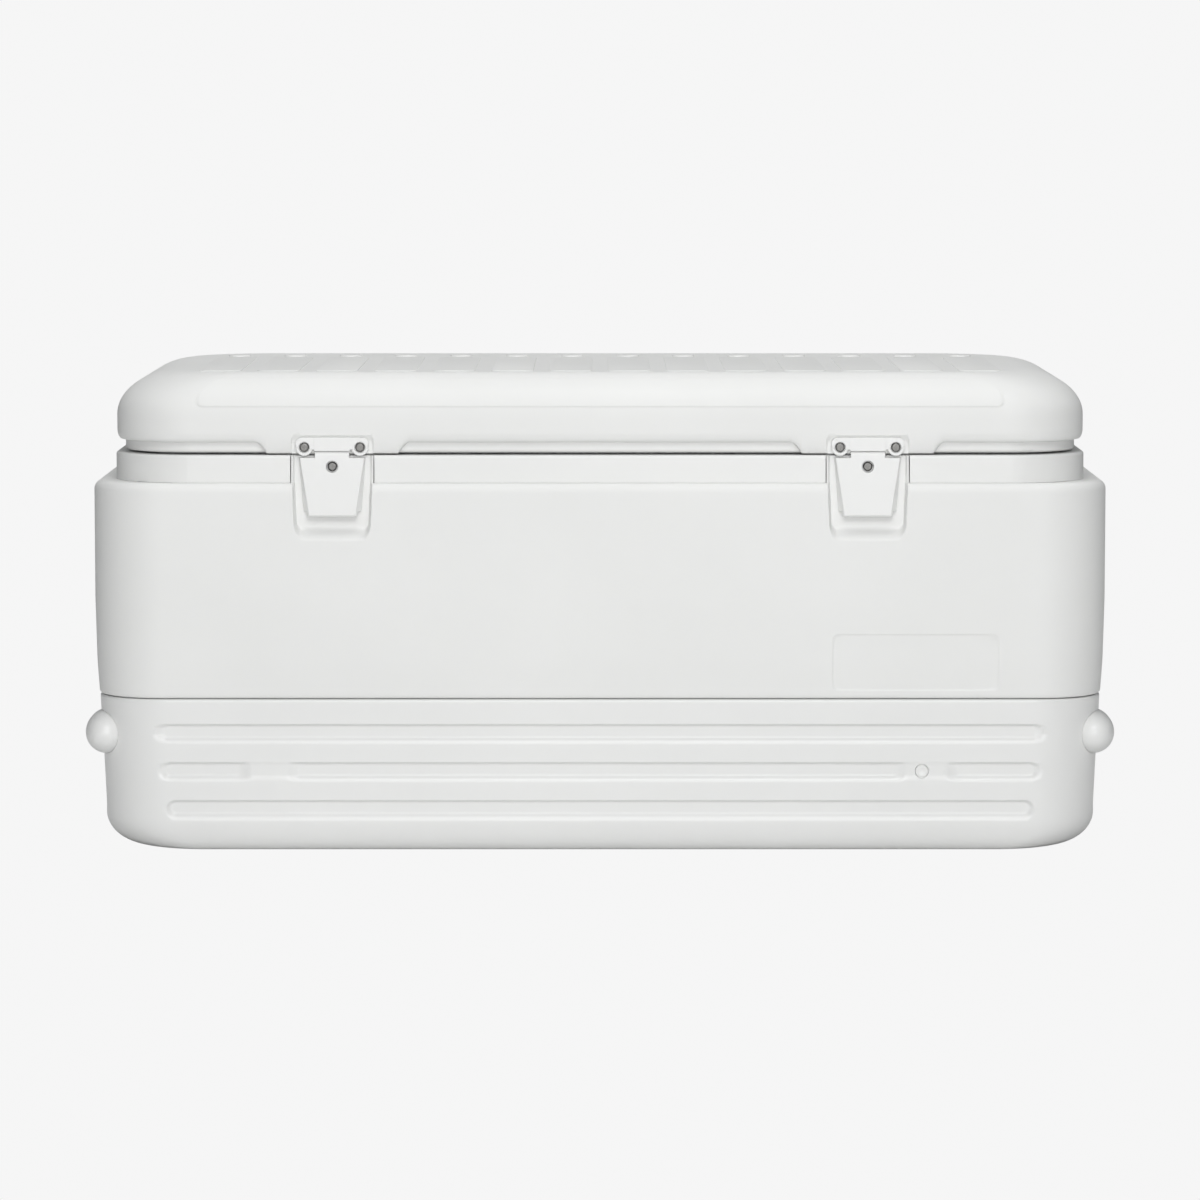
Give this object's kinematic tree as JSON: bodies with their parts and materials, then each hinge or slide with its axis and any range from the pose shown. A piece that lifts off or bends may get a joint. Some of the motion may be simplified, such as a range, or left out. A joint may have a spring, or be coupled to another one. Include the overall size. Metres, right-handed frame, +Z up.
{
  "type": "cooler chest",
  "caption": "Insulated white plastic cooler chest with a hinged domed lid, front latches, swing-up end handles and a screw-capped drain.",
  "frame": {"origin": "centre of the underside, on the surface that the chest stands on", "axes": "+X along the length, to the right seen from the front; the front faces -Y; +Z up"},
  "size_m": [0.973, 0.432, 0.451],
  "materials": {
    "shell_white": "matte",
    "tray_white": "satin",
    "liner_white": "satin",
    "latch_white": "satin",
    "stainless": "satin",
    "seal_rubber": "matte",
    "foam": "matte"
  },
  "bodies": {
    "chest": {"body_shell": "shell_white", "base_tray": "tray_white", "foam_port_plug": "tray_white", "tub_liner": "liner_white", "body_foam": "foam", "drain_spigot": "liner_white", "drain_seal": "seal_rubber", "drain_nut": "liner_white", "strike_posts": "latch_white", "strike_post_screws": "stainless", "hinge_body_screws": "stainless", "handle_pins_left": "stainless", "handle_pins_right": "stainless", "hinge_body_leaf_left": "latch_white", "hinge_body_leaf_middle": "latch_white", "hinge_body_leaf_right": "latch_white", "hinge_pin_left": "stainless", "hinge_pin_middle": "stainless", "hinge_pin_right": "stainless"},
    "lid": {"lid_shell": "shell_white", "lid_liner": "liner_white", "lid_foam": "foam", "latch_plate_left": "latch_white", "latch_plate_right": "latch_white", "latch_plate_screws": "stainless", "hinge_lid_screws": "stainless", "hinge_lid_leaf_left": "latch_white", "hinge_lid_leaf_middle": "latch_white", "hinge_lid_leaf_right": "latch_white"},
    "latch_left": {"latch_tongue_left": "latch_white"},
    "latch_right": {"latch_tongue_right": "latch_white"},
    "handle_left": {"bail_handle_left": "tray_white"},
    "handle_right": {"bail_handle_right": "tray_white"},
    "drain_seal_ring": {"drain_cap_seal": "seal_rubber"},
    "drain_cap": {"drain_cap": "liner_white"}
  },
  "joints": [
    {"name": "lid_hinge", "type": "hinge", "parent": "chest", "child": "lid", "pos_m": [0, 0.2114, 0.379], "axis": [-1, 0, 0], "range_deg": [0, 100]},
    {"name": "latch_left_swing", "type": "hinge", "parent": "lid", "child": "latch_left", "pos_m": [-0.25, -0.2105, 0.3735], "axis": [-1, 0, 0], "range_deg": [0, 90]},
    {"name": "latch_right_swing", "type": "hinge", "parent": "lid", "child": "latch_right", "pos_m": [0.25, -0.2105, 0.3735], "axis": [-1, 0, 0], "range_deg": [0, 90]},
    {"name": "handle_left_swing", "type": "hinge", "parent": "chest", "child": "handle_left", "pos_m": [-0.466, 0, 0.1085], "axis": [0, 1, 0], "range_deg": [0, 120]},
    {"name": "handle_right_swing", "type": "hinge", "parent": "chest", "child": "handle_right", "pos_m": [0.466, 0, 0.1085], "axis": [0, -1, 0], "range_deg": [0, 120]},
    {"name": "drain_cap_travel", "type": "slide", "parent": "chest", "child": "drain_seal_ring", "axis": [0, 1, 0], "range_m": [0, 0.00901]},
    {"name": "drain_cap_turn", "type": "hinge", "parent": "drain_seal_ring", "child": "drain_cap", "pos_m": [0.34, 0.209, 0.0645], "axis": [0, 1, 0], "range_deg": [0, 1080]}
  ],
  "couplings": [
    {"joint": "drain_cap_travel", "follows": "drain_cap_turn", "m_per_rad": 0.00047746}
  ]
}
